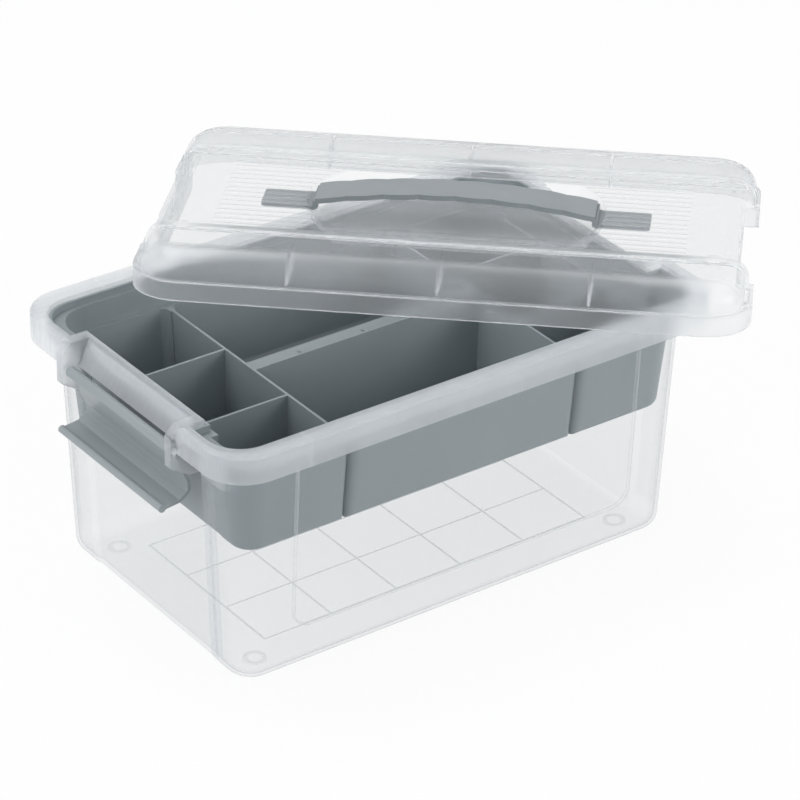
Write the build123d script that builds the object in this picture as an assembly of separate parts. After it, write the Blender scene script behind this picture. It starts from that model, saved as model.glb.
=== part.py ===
from build123d import *
import os
from math import cos, radians, sin, tan

os.makedirs("parts", exist_ok=True)

# A compartment storage box: clear tub, hanging insert tray with eight compartments, clear lid
# with a strap handle, and a swinging clip at each short end. Lengths are in millimetres.
# +X runs along the box, -Y is the long side that faces the viewer, +Z is up, and the origin
# is the middle of the flat underside that the tub stands on. The lid is off and lies askew on the rim.

# Tub walls
box_height = 180.0
tub_length = 360.0
tub_width = 226.0
wall_draft = 2.55
wall = 2.0
corner_radius = 27.0
bottom_radius = 12.0
end_recess_depth = 5.5
end_recess_half = 70.0

# Tub rim
rim_length = 388.0
rim_width = 252.0
rim_radius = 30.0
rim_skirt = 18.0
rim_wall = 2.0
seat_depth = 10.0
seat_length = 372.0
seat_width = 226.0
seat_radius = 24.0
seat_end_inset = 12.0
seat_end_half = 68.0
end_bar_top = 3.0
end_bar_foot = 9.0

# Clip ears on the tub
ear_gap_half = 59.5
ear_thickness = 6.5
ear_reach = 198.0
ear_low = 143.0
ear_front_low = 152.0
ear_chamfer = 7.0

# Ring marks, floor ribs and side panel
ring_outer_radius = 8.0
ring_inner_radius = 4.5
ring_x = 146.0
ring_y = 80.0
ring_depth = 0.6
floor_rib_height = 0.8
floor_rib_width = 1.4
floor_rib_pitch = 52.0
floor_rib_rows = 23.0
floor_rib_columns = 6
floor_rib_reach = 68.0
panel_half = 135.0
panel_low = 32.0
panel_high = 190.0
panel_radius = 14.0
panel_line = 1.4
panel_rise = 0.5

# Insert tray
tray_wall = 1.8
tray_top = 177.0
tray_depth = 82.0
tray_side_clearance = 0.7
tray_seat_clearance = 0.3
tray_draft = 5.4
tray_step = 3.0
cell_top = 155.0
cell_bottom_radius = 5.0
divider_x = 90.0
divider_y = 35.5
divider_thickness = 1.8
channel_y = 3.0
channel_width = 14.0
channel_drop = 3.0
gusset_pitch = 50.0
gusset_count = 3
gusset_run = 8.0
groove_radius = 7.0
groove_gap = 0.4
groove_floor = 0.5

# Lid
lid_height = 31.0
lid_wall = 2.0
lid_fit = 0.5
lid_band = 13.5
lid_inset = 3.0
lid_edge_radius = 15.0
lid_plate_top = 28.0
lid_plate = 2.0
rail_inner = 70.0
rail_rib_pitch = 95.0
rail_rib_thickness = 1.6
rail_rib_inner = 90.0
lid_end_half = 67.5
lid_end_reach = 187.0
lid_ridge_half = 56.0
lid_ridge_width = 2.4
lid_ridge_height = 1.6
lid_ridge_gap = 7.0
plate_rib_half = 152.0
plate_rib_pitch = 8.2
plate_rib_count = 16
plate_rib_width = 3.4
plate_rib_height = 0.9
notch_x = 170.0
notch_radius = 5.5

# Handle pocket in the lid
pocket_half = 98.0
pocket_shoulder = 76.0
pocket_half_width = 54.0
pocket_depth = 12.0
pocket_slope = 32.0
slot_clearance = 0.4

# Strap handle
strap_width = 30.0
strap_thickness = 3.4
strap_rise = 8.0
strap_bend = 94.5
tab_reach = 127.0
tab_width = 27.0
tab_radius = 3.0
tab_thickness = 2.2
tab_gap = 0.3
tab_wall_gap = 1.2
wave_pitch = 23.0
wave_height = 1.6

# Clips
pivot_x = 192.0
pivot_z = 160.0
barrel_radius = 3.6
clip_pin_radius = 2.2
pin_clearance = 0.1
clip_side_clearance = 0.4
clip_thickness = 2.4
clip_bead_radius = 2.6
clip_waist_x = 180.2
clip_waist_drop = 30.0
clip_tip_x = 200.0
clip_tip_drop = 39.5

# Lid as it lies on the box
lid_rest_x = 72.0
lid_rest_y = 7.0
lid_yaw = -42.4
lid_tilt = -6.5
lid_seat_gap = 0.3

# Worked out from the sizes above
small = 0.01
rim_low = box_height - rim_skirt
seat_z = box_height - seat_depth
lid_length = rim_length + 2 * (lid_wall + lid_fit)
lid_width = rim_width + 2 * (lid_wall + lid_fit)
lid_radius = rim_radius + lid_wall
lid_rest_z = box_height + lid_seat_gap + lid_width / 2 * sin(radians(-lid_tilt))
lid_place = Pos(lid_rest_x, lid_rest_y, lid_rest_z) * Rot(0, 0, lid_yaw) * Rot(lid_tilt, 0, 0)
tray_bottom = tray_top - tray_depth


def prism(length, width, radius, low, high):
    """An upright block with rounded corners between two heights."""
    return Pos(0, 0, low) * extrude(RectangleRounded(length, width, radius), amount=high - low)


def wall_lean(z):
    """How far the drafted wall has come in, at a height, from where it is at the top."""
    return (box_height - z) * tan(radians(wall_draft))


def wall_half_length(z):
    """Outer half length of the tub wall at a height."""
    return tub_length / 2 - wall_lean(z)


def wall_half_width(z):
    """Outer half width of the tub wall at a height."""
    return tub_width / 2 - wall_lean(z)


def tapered(inset, low, high, draft):
    """A block that narrows downwards from the tub wall's plan at its top, a distance inside it."""
    length = 2 * (wall_half_length(high) - inset)
    width = 2 * (wall_half_width(high) - inset)
    radius = corner_radius - wall_lean(high) - inset
    plan = Pos(0, 0, high) * RectangleRounded(length, width, radius)
    return extrude(plan, amount=low - high, taper=draft)


def drafted(inset, low, high, edge_radius):
    """A block that follows the tub wall, a distance inside its outer face, with a round foot."""
    block = tapered(inset, low, high, wall_draft)
    return fillet(block.faces().sort_by(Axis.Z)[0].edges(), edge_radius)


def end_wedges(inset, low, high, half):
    """Blocks at both short ends whose inner faces follow the recessed end wall."""
    reach = rim_length
    inner_low = wall_half_length(low) - end_recess_depth - inset
    inner_high = wall_half_length(high) - end_recess_depth - inset
    wedge = Polyline((inner_low, low), (reach, low), (reach, high), (inner_high, high), close=True)
    right = extrude(Plane.XZ * make_face(wedge), amount=half, both=True)
    return right + mirror(right, Plane.YZ)


def end_blocks(inner, half, low, high):
    """Plain blocks that cover both short ends outside a half length."""
    depth = rim_length - inner
    block = Pos(inner + depth / 2, 0, (low + high) / 2) * Box(depth, 2 * half, high - low)
    return block + mirror(block, Plane.YZ)


def rim():
    """Rim of the tub: an outer skirt, a flat top and the step that the tray hangs in."""
    band = prism(rim_length, rim_width, rim_radius, rim_low, box_height)
    band -= prism(
        rim_length - 2 * rim_wall,
        rim_width - 2 * rim_wall,
        rim_radius - rim_wall,
        rim_low,
        box_height - rim_wall,
    )
    band = fillet(band.faces().sort_by(Axis.Z)[-1].outer_wire().edges(), rim_wall / 2)
    step = prism(
        seat_length + 2 * rim_wall,
        seat_width + 2 * rim_wall,
        seat_radius + rim_wall,
        seat_z - rim_wall,
        box_height,
    )
    clip_room = end_blocks(seat_length / 2 - seat_end_inset - wall, ear_gap_half + ear_thickness,
                           rim_low, box_height)
    return band + step - clip_room


def end_bar():
    """Sloped bar that closes the rim between the two ears of a short end."""
    inner = seat_length / 2 - seat_end_inset
    outer_top = inner + end_bar_top
    outer_low = outer_top + end_bar_foot
    profile = Polyline(
        (inner - wall, seat_z - rim_wall),
        (inner - wall, box_height),
        (outer_top, box_height),
        (outer_low, rim_low),
        (outer_low - rim_wall, rim_low),
        (inner + rim_wall, box_height - 2 * rim_wall),
        (inner + rim_wall, seat_z - rim_wall),
        close=True,
    )
    half = ear_gap_half + ear_thickness
    bar = extrude(Plane.XZ * make_face(profile), amount=half, both=True)
    return bar + mirror(bar, Plane.YZ)


def ears():
    """Four ears that carry the clip pins, with their holes."""
    inner = wall_half_length(ear_low) - end_recess_depth - wall / 2
    profile = Polyline(
        (inner, ear_low),
        (inner, box_height),
        (ear_reach - ear_chamfer, box_height),
        (ear_reach, box_height - ear_chamfer),
        (ear_reach, ear_front_low),
        (ear_reach - 2 * ear_chamfer, ear_low),
        close=True,
    )
    hole = Pos(pivot_x, pivot_z) * Circle(clip_pin_radius + pin_clearance)
    ear = extrude(Plane.XZ * (make_face(profile) - hole), amount=ear_thickness)
    near = Pos(0, -ear_gap_half, 0) * ear
    right = near + mirror(near, Plane.XZ)
    return right + mirror(right, Plane.YZ)


def side_panel_lines():
    """Raised outline of the plain panel on each long side, just proud of the wall."""
    middle = (panel_low + panel_high) / 2
    height = panel_high - panel_low
    frame = RectangleRounded(2 * panel_half, height, panel_radius)
    frame -= RectangleRounded(
        2 * (panel_half - panel_line), height - 2 * panel_line, panel_radius - panel_line
    )
    ring = extrude(Plane.XZ * (Pos(0, middle) * frame), amount=rim_width, both=True)
    proud = drafted(-panel_rise, 0, rim_low + rim_wall, bottom_radius)
    return ring & proud


def floor_ribs():
    """Low ribs moulded on the floor: a grid of fine lines."""
    low = wall - small
    high = wall + floor_rib_height
    middle = (low + high) / 2
    half_run = (floor_rib_columns - 1) * floor_rib_pitch / 2
    lines = []
    for side in (-1, 1):
        row = Box(2 * half_run, floor_rib_width, high - low)
        lines.append(Pos(0, side * floor_rib_rows, middle) * row)
        lines.append(Pos(0, side * floor_rib_reach, middle) * row)
    for column in range(floor_rib_columns):
        x = column * floor_rib_pitch - half_run
        line = Box(floor_rib_width, 2 * floor_rib_reach + floor_rib_width, high - low)
        lines.append(Pos(x, 0, middle) * line)
    return Part() + lines


def ring_marks():
    """Shallow rings sunk in the underside, near the four corners."""
    ring = Circle(ring_outer_radius) - Circle(ring_inner_radius)
    mark = extrude(ring, amount=ring_depth)
    places = [(x, y) for x in (-ring_x, ring_x) for y in (-ring_y, ring_y)]
    return Part() + [Pos(x, y, 0) * mark for x, y in places]


def box_body():
    """The clear tub with its rim, ears and floor ribs."""
    shell = drafted(0, 0, seat_z, bottom_radius)
    shell += side_panel_lines()
    shell -= end_wedges(0, -wall, box_height, end_recess_half)
    shell += rim() + end_bar() + ears()
    cavity = drafted(wall, wall, box_height, bottom_radius - wall)
    cavity -= end_wedges(wall, 0, box_height + wall, end_recess_half + wall)
    seat = prism(seat_length, seat_width, seat_radius, seat_z, box_height + wall)
    seat -= end_blocks(seat_length / 2 - seat_end_inset, seat_end_half, seat_z, box_height + wall)
    shell = shell - cavity - seat
    return shell + floor_ribs() - ring_marks()


def groove_plan(grow, reach):
    """Plan of one groove: two rounded cup corners that nearly meet, grown by a wall."""
    half = groove_gap / 2
    span = half + groove_radius
    bend = groove_radius - grow
    middle = bend * sin(radians(45))
    deep = groove_radius + groove_floor + grow
    right = Polyline((0, -reach), (span, -reach), (span, grow))
    curve = ThreePointArc(
        (span, grow), (span - middle, groove_radius - middle), (half + grow, groove_radius)
    )
    nose = Polyline((half + grow, groove_radius), (half + grow, deep), (0, deep))
    side = right + curve + nose
    return make_face(side + mirror(side, Plane.YZ))


def tray_grooves(grow, low, high):
    """Upright grooves in the long walls of the tray, where the cross dividers meet them."""
    lean = tan(radians(tray_draft))
    edge = wall_half_width(cell_top) - wall - tray_side_clearance - tray_step
    edge += (high - cell_top) * lean
    plan = Pos(0, -edge, high) * groove_plan(grow, tray_step)
    run = (high - low) / cos(radians(tray_draft))
    front = extrude(plan, amount=run, dir=(0, lean, -1))
    front = Pos(-divider_x, 0, 0) * front + Pos(divider_x, 0, 0) * front
    return front + mirror(front, Plane.XZ)


def tray_pot(inset, low, high, edge_radius):
    """Tapered block for the lower tray, with the recess at its short ends."""
    base = wall + tray_side_clearance + tray_step + inset
    block = tapered(base, low, high, tray_draft)
    block = fillet(block.faces().sort_by(Axis.Z)[0].edges(), edge_radius)
    return block - end_wedges(base, low - wall, high + wall, end_recess_half + base + inset)


def tray_collar(inset, low, high):
    """Upper tray wall between the compartment tops and the step in the rim."""
    base = wall + tray_side_clearance + inset
    block = tapered(base, low, high, wall_draft)
    return block - end_wedges(base, low - wall, high + wall, end_recess_half + base + inset)


def tray_lip(inset, low, high):
    """Stepped lip of the tray that hangs in the rim of the tub."""
    base = tray_side_clearance + inset
    lip = prism(seat_length - 2 * base, seat_width - 2 * base, seat_radius - base, low, high)
    inner = seat_length / 2 - seat_end_inset - base
    return lip - end_blocks(inner, seat_end_half + base, low - wall, high + wall)


def tray_dividers():
    """Thin walls between the compartments."""
    height = cell_top - tray_bottom
    middle = tray_bottom + height / 2
    cross = Box(divider_thickness, rim_width, height)
    walls = [Pos(x, 0, middle) * cross for x in (-divider_x, divider_x)]
    span = rim_length / 2 - divider_x
    short = Box(span, divider_thickness, height)
    for side in (-1, 1):
        for y in (-divider_y, divider_y):
            walls.append(Pos(side * (divider_x + span / 2), y, middle) * short)
    run = 2 * divider_x
    far = channel_y + channel_width
    near_face = channel_y + divider_thickness / 2
    low_height = height - channel_drop
    walls.append(Pos(0, channel_y, middle) * Box(run, divider_thickness, height))
    walls.append(
        Pos(0, far - divider_thickness / 2, tray_bottom + low_height / 2)
        * Box(run, divider_thickness, low_height)
    )
    web_top = cell_top - channel_drop
    web = Box(run, channel_width, divider_thickness)
    walls.append(Pos(0, channel_y + channel_width / 2, web_top - divider_thickness / 2) * web)
    profile = Polyline(
        (near_face - small, web_top - small),
        (near_face + gusset_run, web_top - small),
        (near_face - small, cell_top - small),
        close=True,
    )
    gusset = extrude(Plane.YZ * make_face(profile), amount=divider_thickness / 2, both=True)
    for index in range(gusset_count):
        walls.append(Pos((index - (gusset_count - 1) / 2) * gusset_pitch, 0, 0) * gusset)
    return Part() + walls


def insert_tray():
    """The grey insert tray with its eight compartments."""
    ledge = cell_top - tray_wall
    seat = seat_z + tray_seat_clearance
    middle = tray_wall / 2
    upper = tray_collar(0, ledge, seat + tray_wall) + tray_lip(0, seat, tray_top)
    upper -= tray_lip(tray_wall, seat + tray_wall, tray_top + wall)
    upper -= tray_collar(tray_wall, ledge - wall, seat + 2 * tray_wall)
    cups = tray_pot(0, tray_bottom, cell_top, cell_bottom_radius)
    cups += tray_collar(middle, ledge, cell_top)
    hollow = tray_pot(
        tray_wall, tray_bottom + tray_wall, cell_top + wall, cell_bottom_radius - tray_wall
    )
    cups -= hollow - tray_grooves(tray_wall, tray_bottom, cell_top + 2 * wall)
    cups += tray_dividers() & tray_pot(middle, tray_bottom + middle, cell_top, cell_bottom_radius)
    cups -= tray_grooves(0, tray_bottom - wall, ledge)
    web_low = cell_top - channel_drop - divider_thickness
    slot_front = channel_y + divider_thickness / 2
    slot_back = channel_y + channel_width - divider_thickness
    slot_half = divider_x - groove_radius
    under = Pos(0, (slot_front + slot_back) / 2, (web_low + tray_bottom - wall) / 2) * Box(
        2 * slot_half, slot_back - slot_front, web_low - tray_bottom + wall
    )
    return cups - under + upper


def lid_shell():
    """Outer form of the lid: rolled rails, a stepped skirt and the clip gaps at both ends."""
    lower = prism(lid_length, lid_width, lid_radius, 0, lid_band)
    upper = prism(
        lid_length - 2 * lid_inset,
        lid_width - 2 * lid_inset,
        lid_radius - lid_inset,
        0,
        lid_height,
    )
    upper = fillet(upper.faces().sort_by(Axis.Z)[-1].edges(), lid_edge_radius)
    shell = lower + upper
    shell -= end_blocks(lid_end_reach, lid_end_half, -wall, lid_height + wall)
    middle = (lid_plate_top + lid_height) / 2 + wall
    well = Box(lid_length + wall, 2 * rail_inner, lid_height - lid_plate_top + 2 * wall)
    return shell - Pos(0, 0, middle) * well


def lid_hollow():
    """Open space under the lid, between the skirt walls."""
    step = lid_band - lid_wall
    lower = prism(
        lid_length - 2 * lid_wall, lid_width - 2 * lid_wall, lid_radius - lid_wall, -wall, step
    )
    inset = lid_inset + lid_wall
    upper = prism(
        lid_length - 2 * inset,
        lid_width - 2 * inset,
        lid_radius - inset,
        0,
        lid_height - lid_wall,
    )
    upper = fillet(upper.faces().sort_by(Axis.Z)[-1].edges(), lid_edge_radius - lid_wall)
    hollow = lower + upper
    low = lid_plate_top - lid_plate
    plate_room = Box(lid_length, 2 * (rail_inner + lid_wall), lid_height)
    hollow -= Pos(0, 0, low + lid_height / 2) * plate_room
    return hollow - end_blocks(
        lid_end_reach - lid_wall, lid_end_half + lid_wall, -2 * wall, lid_height
    )


def pocket_outline(inset):
    """Plan of the handle pocket: straight long sides and bowed ends."""
    half = pocket_half - inset
    shoulder = pocket_shoulder - inset
    side = pocket_half_width - inset
    edge = side - (half - shoulder) / 2
    right = ThreePointArc((shoulder, -side), (half, 0), (shoulder, side))
    left = ThreePointArc((-shoulder, side), (-half, 0), (-shoulder, -side))
    top = Line((shoulder, side), (-shoulder, side))
    bottom = Line((-shoulder, -side), (shoulder, -side))
    plan = make_face(right + top + left + bottom)
    return fillet(plan.vertices(), min(edge, pocket_depth) / 2)


def pocket_bowl(inset, low):
    """Tapered bowl below the handle, from the plate down to a depth."""
    top = Pos(0, 0, lid_plate_top) * pocket_outline(inset)
    return extrude(top, amount=low - lid_plate_top, taper=pocket_slope)


def plate_ribs():
    """Parallel ribs across the lid plate."""
    ribs = []
    profile = Polyline(
        (-plate_rib_width / 2, 0),
        (-plate_rib_width / 4, plate_rib_height),
        (plate_rib_width / 4, plate_rib_height),
        (plate_rib_width / 2, 0),
        close=True,
    )
    rib = extrude(Plane.YZ * make_face(profile), amount=plate_rib_half, both=True)
    for index in range(plate_rib_count):
        y = (index - (plate_rib_count - 1) / 2) * plate_rib_pitch
        ribs.append(Pos(0, y, lid_plate_top) * rib)
    return ribs


def rail_ribs():
    """Cross ribs inside the two rails of the lid."""
    outer = lid_width / 2 - lid_inset - lid_wall / 2
    run = outer - rail_rib_inner
    low = lid_band
    high = lid_height - lid_wall / 2
    rib = Box(rail_rib_thickness, run, high - low)
    ribs = []
    for index in (-1, 0, 1):
        for side in (-1, 1):
            y = side * (rail_rib_inner + run / 2)
            ribs.append(Pos(index * rail_rib_pitch, y, (low + high) / 2) * rib)
    return (Part() + ribs) & lid_shell()


def end_ridges():
    """Two low ridges at each short end of the plate, where the clip hooks on."""
    ridge = Box(lid_ridge_width, 2 * lid_ridge_half, lid_ridge_height)
    z = lid_plate_top + lid_ridge_height / 2
    ridges = []
    for side in (-1, 1):
        for back in (0, lid_ridge_gap):
            x = side * (lid_end_reach - lid_ridge_width / 2 - back)
            ridges.append(Pos(x, 0, z) * ridge)
    return ridges


def finger_notches():
    """Half round lugs on the plate beside the rails."""
    lug = extrude(Circle(notch_radius), amount=lid_height - lid_plate_top - lid_ridge_height / 2)
    places = [(x, side) for x in (-notch_x, notch_x) for side in (-1, 1)]
    return [Pos(x, side * rail_inner, lid_plate_top) * lug for x, side in places]


def lid():
    """The clear lid in its own frame, with the bottom of its skirt at height zero."""
    shell = lid_shell() - lid_hollow()
    shell = shell + plate_ribs() + rail_ribs() + end_ridges() + finger_notches()
    low = lid_plate_top - pocket_depth
    bowl = pocket_bowl(0, low)
    well = pocket_bowl(-lid_wall, low - lid_plate)
    cap = Pos(0, 0, lid_plate_top) * extrude(pocket_outline(0), amount=plate_rib_height + small)
    under = Box(lid_length, lid_width, lid_plate_top)
    well &= Pos(0, 0, lid_plate_top / 2) * under
    shell = shell + well - bowl - cap
    slot_low = lid_plate_top - lid_plate - tab_gap - tab_thickness - slot_clearance
    slot_high = lid_plate_top - lid_plate
    slot = Box(2 * strap_thickness + 2 * lid_wall, tab_width + 2 * slot_clearance,
               slot_high - slot_low)
    for side in (-1, 1):
        shell -= Pos(side * (pocket_half - lid_wall / 2), 0, (slot_low + slot_high) / 2) * slot
    return shell


def strap_plan():
    """Plan of the strap: scalloped edges between the tabs, narrower at its ends."""
    half = strap_width / 2
    count = round(2 * strap_bend / wave_pitch)
    step = 2 * strap_bend / count
    edges = []
    for side in (-1, 1):
        for index in range(count):
            start = -strap_bend + index * step
            crest = (start + step / 2, side * (half + wave_height / 2))
            first = (start, side * (half - wave_height / 2))
            last = (start + step, side * (half - wave_height / 2))
            edges.append(ThreePointArc(first, crest, last))
        edges.append(
            Line((side * strap_bend, -half + wave_height / 2), (side * strap_bend, half - wave_height / 2))
        )
    grip = make_face(edges)
    tabs = RectangleRounded(2 * tab_reach, tab_width, tab_radius)
    return grip + tabs


def carry_handle():
    """The strap handle in the lid's frame: a bowed grip whose ends run under the plate."""
    tab_z = lid_plate_top - lid_plate - tab_gap - tab_thickness / 2
    tab_start = pocket_half - lid_wall - strap_thickness - tab_wall_gap
    rise_z = lid_plate_top + strap_thickness / 2
    left = (-strap_bend + strap_thickness, rise_z)
    right = (strap_bend - strap_thickness, rise_z)
    bow = ThreePointArc(left, (0, rise_z + strap_rise), right)
    grip = trace(bow, line_width=strap_thickness)
    for side in (-1, 1):
        drop = Line((side * right[0], rise_z), (side * tab_start, tab_z))
        tab = Line((side * tab_start, tab_z), (side * tab_reach, tab_z))
        grip += trace(drop, line_width=strap_thickness)
        grip += trace(tab, line_width=tab_thickness)
    solid = extrude(Plane.XZ * grip, amount=strap_width, both=True)
    plan = extrude(strap_plan(), amount=lid_height + 2 * strap_rise)
    return solid & plan


def clip():
    """The right-hand clip hanging open: barrel, pins, curved plate and hooked edge."""
    half = ear_gap_half - clip_side_clearance
    path = FilletPolyline(
        (pivot_x, pivot_z),
        (pivot_x - barrel_radius, pivot_z - 2 * barrel_radius),
        (clip_waist_x, pivot_z - clip_waist_drop + barrel_radius),
        (clip_waist_x, pivot_z - clip_waist_drop - barrel_radius),
        (clip_waist_x + 2 * barrel_radius, pivot_z - clip_tip_drop + clip_bead_radius / 2),
        (clip_tip_x, pivot_z - clip_tip_drop),
        radius=clip_thickness,
    )
    section = trace(path, line_width=clip_thickness)
    section += Pos(clip_tip_x, pivot_z - clip_tip_drop) * Circle(clip_bead_radius)
    section += Pos(pivot_x, pivot_z) * Circle(barrel_radius)
    body = extrude(Plane.XZ * section, amount=half, both=True)
    pin_half = ear_gap_half + ear_thickness - clip_side_clearance
    pin = extrude(
        Plane.XZ * (Pos(pivot_x, pivot_z) * Circle(clip_pin_radius)), amount=pin_half, both=True
    )
    return body + pin


right_clip = clip()
nodes = {
    "box_body": box_body(),
    "insert_tray": insert_tray(),
    "lid": lid_place * lid(),
    "carry_handle": lid_place * carry_handle(),
    "clip_left": mirror(right_clip, Plane.YZ),
    "clip_right": right_clip,
}
for name, shape in nodes.items():
    export_step(shape, f"parts/{name}.step")
    print(name, len(shape.solids()), round(shape.volume), shape.bounding_box().size)
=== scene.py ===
import math

import bpy
from mathutils import Matrix, Vector

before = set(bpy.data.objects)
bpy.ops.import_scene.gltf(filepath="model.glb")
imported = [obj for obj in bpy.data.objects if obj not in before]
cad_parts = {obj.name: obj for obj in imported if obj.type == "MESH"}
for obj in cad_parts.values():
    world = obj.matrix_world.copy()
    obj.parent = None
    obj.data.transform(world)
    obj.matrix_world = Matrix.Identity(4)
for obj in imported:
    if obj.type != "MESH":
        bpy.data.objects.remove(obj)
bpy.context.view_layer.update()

scene = bpy.context.scene

# Camera: the photograph's angle, from a long way off with a long lens
FOCAL_PX = 3944.5
FRAME_PX = 800
SENSOR_MM = 36.0
CLIP_START = 0.1
CLIP_END = 50.0
CAMERA_AT = Vector((-1.3109, -1.8115, 1.4049))
CAMERA_BACK = Vector((-0.5129, -0.6959, 0.5027))
CAMERA_RIGHT = Vector((0.8050, -0.5933, 0.0))
CAMERA_ROLL = math.radians(1.0)

# Tub, as in the CAD: where it is frosted, its panel outlines, its corner rings and its floor ribs
EAR_START = 0.1765
EAR_LOW = 0.1425
RIM_LOW = 0.1615
PANEL_HALF_LENGTH = 0.135
PANEL_LOW = 0.032
PANEL_HIGH = 0.190
PANEL_CORNER = 0.014
PANEL_LINE = 0.0014
PANEL_OUT = 0.095
RING_AT = (0.146, 0.080)
RING_RADIUS = 0.0063
RING_HALF_WIDTH = 0.0014
RING_TOP = 0.004
RIB_TOP = 0.0028
RIB_TOP_SPAN = 0.0002
RIB_REACH = (0.1315, 0.0695)

# Lid, as in the CAD: its place askew on the rim, and where it is frosted
LID_AT = (0.072, 0.007, 0.19485)
LID_YAW = math.radians(-42.4)
LID_TILT = math.radians(-6.5)
LID_BAND = 0.0137
LID_CREST_AT = 0.0735
LID_CREST_HALF = 0.0035
LID_SHOULDER = 0.1085

# How soft the borders of those zones are
SOFT_ZONE = 0.001
SOFT_PANEL_LINE = 0.0003
SOFT_RING = 0.0006
SOFT_RIB = 0.0001
SOFT_CREST = 0.002
SOFT_SHOULDER = 0.004

# Clear plastic: what one surface lets through, how a frosted surface blurs, its milky share, and the
# painted light on the tub's moulded relief
FILM = (0.972, 0.975, 0.977)
SHADOW_FILM = (0.93, 0.93, 0.93)
BLUR_TINT = (0.93, 0.935, 0.94)
BLUR_IOR = 1.1
BLUR_ROUGHNESS = 0.3
EDGE_MILK = 0.5
EDGE_POWER = 3.0
# Painted light: milky cover laid along the panel outlines, corner rings and floor rib tops, and the
# rings' share of it
LINE_PAINTED_LIGHT = 0.24
RING_PAINTED_SHARE = 0.4
CLOUDED = (0.85, 1.15)
CLEAR_ROUGHNESS = (0.22, 0.32)
TUB_TONES = ((0.64, 0.665, 0.69), (0.72, 0.745, 0.77))
LID_TONES = ((0.64, 0.66, 0.68), (0.72, 0.74, 0.76))

# Grey plastic: dark and light tone, and middle roughness with its swing
TRAY_TONES = ((0.24, 0.275, 0.29), (0.27, 0.305, 0.32))
STRAP_TONES = ((0.235, 0.263, 0.278), (0.262, 0.29, 0.305))
CLIP_TONES = ((0.285, 0.317, 0.332), (0.315, 0.347, 0.362))
TRAY_ROUGHNESS = 0.42
TRIM_ROUGHNESS = 0.38
GLOSSIER = 0.06
DULLER = 0.08

# What both plastics share
PLASTIC_IOR = 1.49
GRAIN_DEPTH = 0.0002
NOISE_MIDDLE = (0.35, 0.65)
NOISE_WIDE = (0.3, 0.7)

# Studio: pale floor, white surround, soft lamps that face the box
FLOOR_HALF = 8.0
FLOOR_DROP = 0.0005
FLOOR_WHITE = 0.92
FLOOR_TONES = ((0.90, 0.90, 0.90), (0.94, 0.94, 0.94))
FLOOR_ROUGHNESS = 0.9
WORLD_TINT = (0.97, 0.985, 1.0)
WORLD_LIGHT = 0.5
WHITE = (1.0, 1.0, 1.0)
LAMP_TARGET = Vector((0.0, 0.0, 0.1))
CLEAR_LAYERS = 48


def add_camera():
    """The camera of the photograph."""
    data = bpy.data.cameras.new("camera")
    data.sensor_width = SENSOR_MM
    data.lens = FOCAL_PX / FRAME_PX * SENSOR_MM
    data.clip_start = CLIP_START
    data.clip_end = CLIP_END
    camera = bpy.data.objects.new("camera", data)
    scene.collection.objects.link(camera)
    back = CAMERA_BACK.normalized()
    right = CAMERA_RIGHT.normalized()
    up = back.cross(right).normalized()
    turned_right = math.cos(CAMERA_ROLL) * right + math.sin(CAMERA_ROLL) * up
    turned_up = back.cross(turned_right)
    rotation = Matrix((turned_right, turned_up, back)).transposed()
    camera.matrix_world = Matrix.Translation(CAMERA_AT) @ rotation.to_4x4()
    scene.camera = camera


# Node helpers
def new_material(name):
    """An empty node material with its output and its object coordinates."""
    mat = bpy.data.materials.new(name)
    mat.use_nodes = True
    tree = mat.node_tree
    tree.nodes.clear()
    out = tree.nodes.new("ShaderNodeOutputMaterial")
    coords = tree.nodes.new("ShaderNodeTexCoord")
    return mat, tree, out, coords.outputs["Object"]


def noise(tree, where, scale, detail=3.0, stretch=None):
    """A noise factor over the object, with its size in waves per metre."""
    if stretch:
        mapping = tree.nodes.new("ShaderNodeMapping")
        mapping.inputs["Scale"].default_value = stretch
        tree.links.new(where, mapping.inputs["Vector"])
        where = mapping.outputs["Vector"]
    node = tree.nodes.new("ShaderNodeTexNoise")
    node.inputs["Scale"].default_value = scale
    node.inputs["Detail"].default_value = detail
    tree.links.new(where, node.inputs["Vector"])
    return node.outputs["Fac"]


def ranged(tree, value, low, high, from_low=0.0, from_high=1.0):
    """The value mapped to another range."""
    node = tree.nodes.new("ShaderNodeMapRange")
    node.inputs["From Min"].default_value = from_low
    node.inputs["From Max"].default_value = from_high
    node.inputs["To Min"].default_value = low
    node.inputs["To Max"].default_value = high
    tree.links.new(value, node.inputs["Value"])
    return node.outputs["Result"]


def math_node(tree, operation, a, b, clamp=False):
    """One arithmetic node on two sockets or numbers."""
    node = tree.nodes.new("ShaderNodeMath")
    node.operation = operation
    node.use_clamp = clamp
    for index, value in enumerate((a, b)):
        if isinstance(value, (int, float)):
            node.inputs[index].default_value = value
        else:
            tree.links.new(value, node.inputs[index])
    return node.outputs["Value"]


def mixed(tree, factor, a, b):
    """A colour between two colours."""
    node = tree.nodes.new("ShaderNodeMix")
    node.data_type = "RGBA"
    tree.links.new(factor, node.inputs["Factor"])
    node.inputs["A"].default_value = (*a, 1.0)
    node.inputs["B"].default_value = (*b, 1.0)
    return node.outputs["Result"]


def blended(tree, factor, a, b):
    """A shader between two shaders."""
    node = tree.nodes.new("ShaderNodeMixShader")
    tree.links.new(factor, node.inputs["Fac"])
    tree.links.new(a, node.inputs[1])
    tree.links.new(b, node.inputs[2])
    return node.outputs["Shader"]


def clear_film(tree, colour):
    """A shader that lets light straight through, with a tint."""
    node = tree.nodes.new("ShaderNodeBsdfTransparent")
    node.inputs["Color"].default_value = (*colour, 1.0)
    return node.outputs["BSDF"]


def bump(tree, height, strength, distance):
    """A bump normal from a height."""
    node = tree.nodes.new("ShaderNodeBump")
    node.inputs["Strength"].default_value = strength
    node.inputs["Distance"].default_value = distance
    tree.links.new(height, node.inputs["Height"])
    return node.outputs["Normal"]


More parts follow.
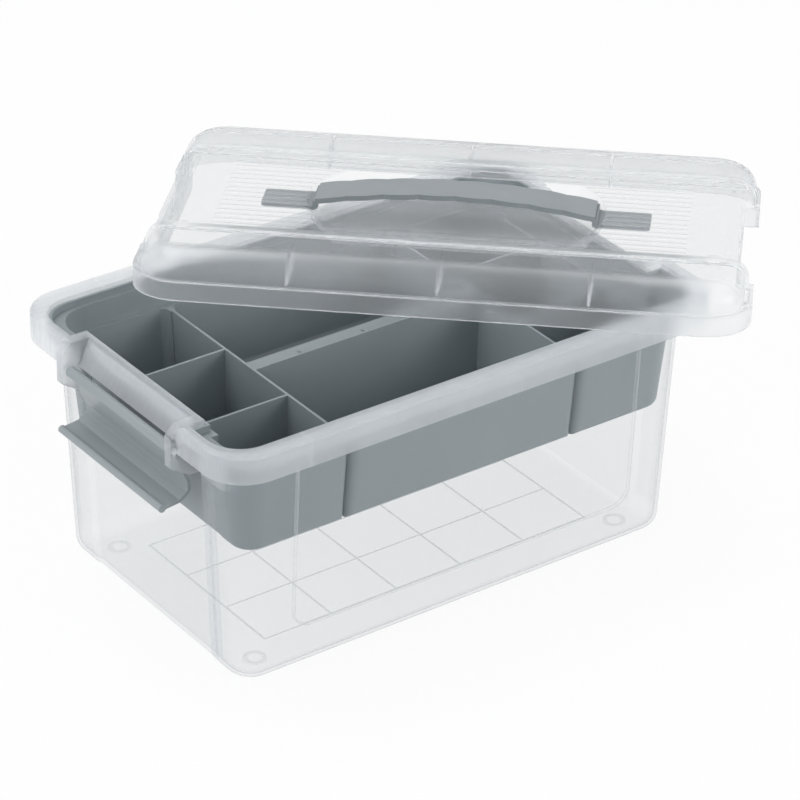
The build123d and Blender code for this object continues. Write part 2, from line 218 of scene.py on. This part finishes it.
def parts_of(tree, where):
    """The x, y and z of a position."""
    node = tree.nodes.new("ShaderNodeSeparateXYZ")
    tree.links.new(where, node.inputs["Vector"])
    return node.outputs["X"], node.outputs["Y"], node.outputs["Z"]


def size_of(tree, value):
    """The value without its sign."""
    return math_node(tree, "ABSOLUTE", value, 0.0)


def beyond(tree, value, limit, blend=SOFT_ZONE):
    """1 where the size of a value is over a limit, 0 below it."""
    return ranged(tree, size_of(tree, value), 0.0, 1.0, limit - blend, limit + blend)


def inside(tree, value, limit, blend=SOFT_ZONE):
    """1 where the size of a value is under a limit, 0 over it."""
    return math_node(tree, "SUBTRACT", 1.0, beyond(tree, value, limit, blend))


def corner_distance(tree, across, half_across, up, half_up):
    """How far a point lies outside a rectangle round the origin."""
    legs = []
    for value, half in ((across, half_across), (up, half_up)):
        over = math_node(tree, "SUBTRACT", size_of(tree, value), half)
        legs.append(math_node(tree, "POWER", math_node(tree, "MAXIMUM", over, 0.0), 2.0))
    return math_node(tree, "SQRT", math_node(tree, "ADD", *legs), 0.0)


# Zones of the tub and the lid
def tub_frost(tree, where):
    """1 on the rim and the ears of the tub, whose surface is textured."""
    x, y, z = parts_of(tree, where)
    ears = math_node(tree, "MULTIPLY", beyond(tree, x, EAR_START), beyond(tree, z, EAR_LOW))
    return math_node(tree, "MAXIMUM", ears, beyond(tree, z, RIM_LOW))


def panel_outline(tree, x, y, z):
    """1 on the raised outline of the side panels, where light is painted."""
    inset = PANEL_LINE / 2
    radius = PANEL_CORNER - inset
    half_x = PANEL_HALF_LENGTH - inset - radius
    half_z = (PANEL_HIGH - PANEL_LOW) / 2 - inset - radius
    up = math_node(tree, "SUBTRACT", z, (PANEL_LOW + PANEL_HIGH) / 2)
    off = corner_distance(tree, x, half_x, up, half_z)
    line = inside(tree, math_node(tree, "SUBTRACT", off, radius), inset, SOFT_PANEL_LINE)
    return math_node(tree, "MULTIPLY", line, beyond(tree, y, PANEL_OUT))


def corner_rings(tree, x, y, z):
    """The share of painted light on the rings near the four corners of the floor."""
    off_x, off_y = (
        math_node(tree, "SUBTRACT", size_of(tree, value), centre)
        for value, centre in zip((x, y), RING_AT)
    )
    off = corner_distance(tree, off_x, 0.0, off_y, 0.0)
    ring = inside(tree, math_node(tree, "SUBTRACT", off, RING_RADIUS), RING_HALF_WIDTH, SOFT_RING)
    ring = math_node(tree, "MULTIPLY", ring, inside(tree, z, RING_TOP))
    return math_node(tree, "MULTIPLY", ring, RING_PAINTED_SHARE)


def floor_rib_tops(tree, x, y, z):
    """1 on the tops of the ribs on the floor, where light is painted."""
    top = inside(tree, math_node(tree, "SUBTRACT", z, RIB_TOP), RIB_TOP_SPAN, SOFT_RIB)
    reach_x, reach_y = RIB_REACH
    on_floor = math_node(tree, "MULTIPLY", inside(tree, x, reach_x), inside(tree, y, reach_y))
    return math_node(tree, "MULTIPLY", top, on_floor)


def tub_relief_painted_light(tree, where):
    """Where light is painted on the tub: along what is moulded in fine relief, the panel outlines,
    corner rings and floor ribs.
    """
    place = parts_of(tree, where)
    outline = panel_outline(tree, *place)
    on_floor = math_node(tree, "MAXIMUM", corner_rings(tree, *place), floor_rib_tops(tree, *place))
    return math_node(tree, "MAXIMUM", outline, on_floor)


def lid_frost(tree, where):
    """1 on the crests, the shoulders and the skirt of the lid, in the frame of the askew lid."""
    mapping = tree.nodes.new("ShaderNodeMapping")
    mapping.vector_type = "TEXTURE"
    mapping.inputs["Location"].default_value = LID_AT
    mapping.inputs["Rotation"].default_value = (LID_TILT, 0.0, LID_YAW)
    tree.links.new(where, mapping.inputs["Vector"])
    x, y, z = parts_of(tree, mapping.outputs["Vector"])
    from_crest = math_node(tree, "SUBTRACT", size_of(tree, y), LID_CREST_AT)
    crest = inside(tree, from_crest, LID_CREST_HALF, SOFT_CREST)
    sides = math_node(tree, "MAXIMUM", crest, beyond(tree, y, LID_SHOULDER, SOFT_SHOULDER))
    return math_node(tree, "MAXIMUM", inside(tree, z, LID_BAND), sides)


# Materials
def milky_surface(tree, where, cloud, tones):
    """The share of the clear plastic that scatters light: pale, softly glossy, faintly scuffed."""
    fine = noise(tree, where, 900.0, 2.0)
    scuffs = noise(tree, where, 60.0, 4.0, (1.0, 6.0, 1.0))
    surface = tree.nodes.new("ShaderNodeBsdfPrincipled")
    tree.links.new(mixed(tree, cloud, *tones), surface.inputs["Base Color"])
    tree.links.new(ranged(tree, scuffs, *CLEAR_ROUGHNESS, *NOISE_WIDE), surface.inputs["Roughness"])
    tree.links.new(bump(tree, fine, 0.08, GRAIN_DEPTH), surface.inputs["Normal"])
    surface.inputs["IOR"].default_value = PLASTIC_IOR
    return surface.outputs["BSDF"]


def blurring_surface(tree):
    """The share of the clear plastic that shows what is behind it blurred."""
    blur = tree.nodes.new("ShaderNodeBsdfPrincipled")
    blur.inputs["Base Color"].default_value = (*BLUR_TINT, 1.0)
    blur.inputs["Transmission Weight"].default_value = 1.0
    blur.inputs["IOR"].default_value = BLUR_IOR
    blur.inputs["Roughness"].default_value = BLUR_ROUGHNESS
    return blur.outputs["BSDF"]


def clear_plastic(name, frost_of, haze, blur, tones, painted_light_of=None):
    """Clear moulded plastic. Haze and blur each have their amount where it is smooth, then frosted;
    light can be painted along its moulded relief.
    """
    mat, tree, out, where = new_material(name)
    frost = frost_of(tree, where)
    cloud = noise(tree, where, 9.0)
    layer = tree.nodes.new("ShaderNodeLayerWeight")
    layer.inputs["Blend"].default_value = 0.5
    grazing = math_node(tree, "POWER", layer.outputs["Facing"], EDGE_POWER)
    edge = math_node(tree, "MULTIPLY", grazing, EDGE_MILK)
    milk_and_painted_light = ranged(tree, frost, *haze)
    milk_and_painted_light = math_node(tree, "MULTIPLY", milk_and_painted_light, ranged(tree, cloud, *CLOUDED, *NOISE_MIDDLE))
    # Painted light: milky cover along the moulded relief stands in for the light its edges catch.
    if painted_light_of:
        painted_lines = math_node(tree, "MULTIPLY", painted_light_of(tree, where), LINE_PAINTED_LIGHT)
        milk_and_painted_light = math_node(tree, "ADD", milk_and_painted_light, painted_lines)
    cover = math_node(tree, "ADD", edge, milk_and_painted_light, clamp=True)
    through = blended(tree, ranged(tree, frost, *blur), clear_film(tree, FILM), blurring_surface(tree))
    seen = blended(tree, cover, through, milky_surface(tree, where, cloud, tones))
    path = tree.nodes.new("ShaderNodeLightPath")
    lit = blended(tree, path.outputs["Is Shadow Ray"], seen, clear_film(tree, SHADOW_FILM))
    tree.links.new(lit, out.inputs["Surface"])
    return mat


def grey_plastic(name, tones, roughness):
    """Satin grey moulded plastic with a fine eroded texture and faint flow marks."""
    mat, tree, out, where = new_material(name)
    cloud = noise(tree, where, 14.0)
    grain = noise(tree, where, 1400.0, 2.0)
    flow = noise(tree, where, 30.0, 4.0, (1.0, 1.0, 7.0))
    surface = tree.nodes.new("ShaderNodeBsdfPrincipled")
    tree.links.new(mixed(tree, cloud, *tones), surface.inputs["Base Color"])
    satin = ranged(tree, flow, roughness - GLOSSIER, roughness + DULLER, *NOISE_WIDE)
    tree.links.new(satin, surface.inputs["Roughness"])
    tree.links.new(bump(tree, grain, 0.12, GRAIN_DEPTH), surface.inputs["Normal"])
    surface.inputs["IOR"].default_value = PLASTIC_IOR
    tree.links.new(surface.outputs["BSDF"], out.inputs["Surface"])
    return mat


def dress(node, mat):
    """Gives a node its material in all its slots."""
    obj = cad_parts[node]
    if not obj.material_slots:
        obj.data.materials.append(mat)
    for material_slot in obj.material_slots:
        material_slot.material = mat


tub_plastic = clear_plastic("tub_plastic", tub_frost, (0.016, 0.21), (0.0, 0.6), TUB_TONES, tub_relief_painted_light)
lid_plastic = clear_plastic("lid_plastic", lid_frost, (0.018, 0.12), (0.05, 0.7), LID_TONES)
tray_plastic = grey_plastic("tray_plastic", TRAY_TONES, TRAY_ROUGHNESS)
strap_plastic = grey_plastic("strap_plastic", STRAP_TONES, TRIM_ROUGHNESS)
clip_plastic = grey_plastic("clip_plastic", CLIP_TONES, TRIM_ROUGHNESS)

dress("box_body", tub_plastic)
dress("lid", lid_plastic)
dress("insert_tray", tray_plastic)
dress("carry_handle", strap_plastic)
for clip in ("clip_left", "clip_right"):
    dress(clip, clip_plastic)


# Studio
def seen_share(tree):
    """1 for rays that show the background: from the camera, off a mirror or through glass."""
    path = tree.nodes.new("ShaderNodeLightPath")
    mirrored = math_node(tree, "MAXIMUM", path.outputs["Is Camera Ray"], path.outputs["Is Glossy Ray"])
    return math_node(tree, "MAXIMUM", mirrored, path.outputs["Is Transmission Ray"])


def floor_material():
    """Pale floor that shows nearly white but keeps the shadow of the object."""
    mat, tree, out, where = new_material("floor")
    surface = tree.nodes.new("ShaderNodeBsdfPrincipled")
    speckle = noise(tree, where, 40.0)
    tree.links.new(mixed(tree, speckle, *FLOOR_TONES), surface.inputs["Base Color"])
    surface.inputs["Roughness"].default_value = FLOOR_ROUGHNESS
    white = tree.nodes.new("ShaderNodeEmission")
    white.inputs["Strength"].default_value = 1.0
    share = math_node(tree, "MULTIPLY", seen_share(tree), FLOOR_WHITE)
    shown = blended(tree, share, surface.outputs["BSDF"], white.outputs["Emission"])
    tree.links.new(shown, out.inputs["Surface"])
    return mat


def add_floor():
    """A wide plane just below the underside."""
    half = FLOOR_HALF
    mesh = bpy.data.meshes.new("floor")
    corners = [(-half, -half, 0.0), (half, -half, 0.0), (half, half, 0.0), (-half, half, 0.0)]
    mesh.from_pydata(corners, [], [(0, 1, 2, 3)])
    floor = bpy.data.objects.new("floor", mesh)
    floor.location.z = -FLOOR_DROP
    scene.collection.objects.link(floor)
    mesh.materials.append(floor_material())


def surround(tree, colour, strength):
    """An even light from all sides."""
    node = tree.nodes.new("ShaderNodeBackground")
    node.inputs["Color"].default_value = (*colour, 1.0)
    node.inputs["Strength"].default_value = strength
    return node.outputs["Background"]


def add_world():
    """White surroundings: plain light for the object, pure white to the camera and in mirrors."""
    world = bpy.data.worlds.new("studio")
    scene.world = world
    world.use_nodes = True
    tree = world.node_tree
    tree.nodes.clear()
    out = tree.nodes.new("ShaderNodeOutputWorld")
    light = surround(tree, WORLD_TINT, WORLD_LIGHT)
    shown = blended(tree, seen_share(tree), light, surround(tree, WHITE, 1.0))
    tree.links.new(shown, out.inputs["Surface"])


def add_lamp(name, place, size, power, colour):
    """A soft rectangular lamp that faces the box."""
    data = bpy.data.lights.new(name, "AREA")
    data.shape = "RECTANGLE"
    data.size, data.size_y = size
    data.energy = power
    data.color = colour
    lamp = bpy.data.objects.new(name, data)
    lamp.location = place
    lamp.rotation_euler = (LAMP_TARGET - Vector(place)).to_track_quat("-Z", "Y").to_euler()
    scene.collection.objects.link(lamp)


add_camera()
add_floor()
add_world()
add_lamp("key", (-0.4, 0.9, 2.4), (1.6, 1.2), 20.0, WHITE)
add_lamp("left", (-2.2, -0.2, 1.1), (1.4, 1.4), 17.0, WORLD_TINT)
add_lamp("right", (1.6, -2.0, 1.0), (1.6, 1.4), 31.0, WHITE)

scene.view_settings.view_transform = "Standard"
scene.cycles.transparent_max_bounces = CLEAR_LAYERS
